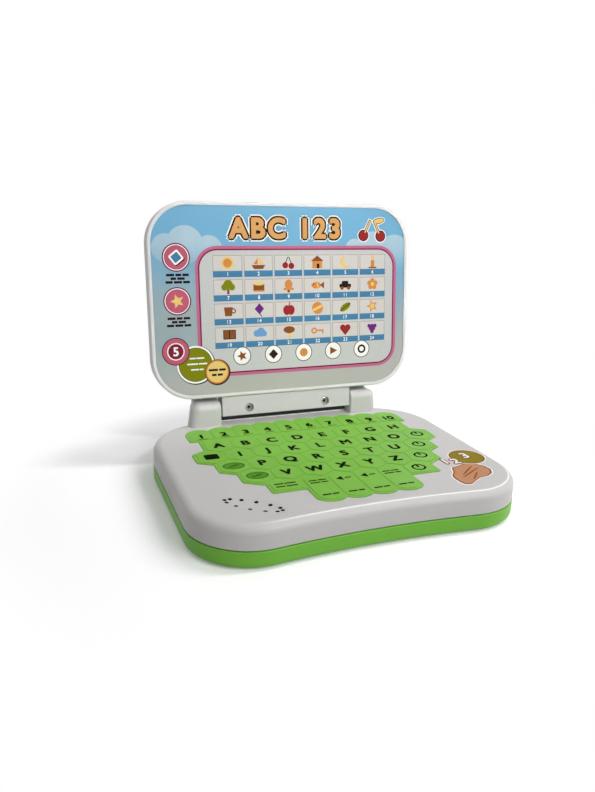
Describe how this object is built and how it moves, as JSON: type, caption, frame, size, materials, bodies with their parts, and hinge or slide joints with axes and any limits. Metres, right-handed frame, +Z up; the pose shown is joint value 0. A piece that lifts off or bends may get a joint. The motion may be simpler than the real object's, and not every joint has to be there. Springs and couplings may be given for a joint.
{
  "type": "toy laptop computer",
  "caption": "Toy laptop computer: hinged lid with a picture panel on a rounded two-part base with a flat key sheet, a speaker and a battery compartment.",
  "frame": {"origin": "on the floor under the middle of the base case, at the middle of the middle foot", "axes": "+Z up, +X to the user's right along the base's width, +Y away from the user towards the hinge"},
  "size_m": [0.1906, 0.167, 0.1644],
  "materials": {
    "white_plastic": "satin moulded",
    "green_plastic": "satin moulded",
    "key_sheet": "printed matte film",
    "clear_film": "thin film",
    "circuit_film": "thin film with printed tracks",
    "printed_card": "coated print",
    "steel": "plated",
    "spring_steel": "nickel plated",
    "circuit_board": "solder mask",
    "potting": "cured resin",
    "component_body": "moulded",
    "socket_plastic": "moulded",
    "cone_paper": "pressed",
    "magnet": "plated",
    "foam": "foam",
    "cell_jacket": "printed sleeve",
    "red_lead": "insulated",
    "black_lead": "insulated",
    "foot_rubber": "moulded"
  },
  "bodies": {
    "base": {"top_case": "white_plastic", "bottom_case": "green_plastic", "feet": "foot_rubber", "keypad_overlay": "key_sheet", "keypad_spacer": "clear_film", "keypad_circuit": "circuit_film", "main_board": "circuit_board", "sound_chip": "potting", "board_parts": "component_body", "tail_socket": "socket_plastic", "speaker_frame": "steel", "speaker_cone": "cone_paper", "speaker_magnet": "magnet", "speaker_gasket": "foam", "battery_cells": "cell_jacket", "battery_plates": "spring_steel", "battery_leaves": "spring_steel", "hinge_pin_left": "steel", "hinge_pin_right": "steel", "case_screws": "steel", "board_screws": "steel", "speaker_leads": "black_lead", "battery_lead_positive": "red_lead", "battery_lead_negative": "black_lead"},
    "lid": {"lid_back": "white_plastic", "lid_front": "white_plastic", "picture_card": "printed_card", "hinge_cover": "white_plastic", "hinge_screws": "steel"},
    "battery_door": {"battery_door": "green_plastic", "door_screws": "steel"}
  },
  "joints": [
    {"name": "lid_hinge", "type": "hinge", "parent": "base", "child": "lid", "pos_m": [0, 0.0713, 0.0324], "axis": [1, 0, 0], "range_deg": [-8.3, 96.7]},
    {"name": "battery_door_lift", "type": "slide", "parent": "base", "child": "battery_door", "axis": [0, 0, -1], "range_m": [0, 0.03]}
  ]
}
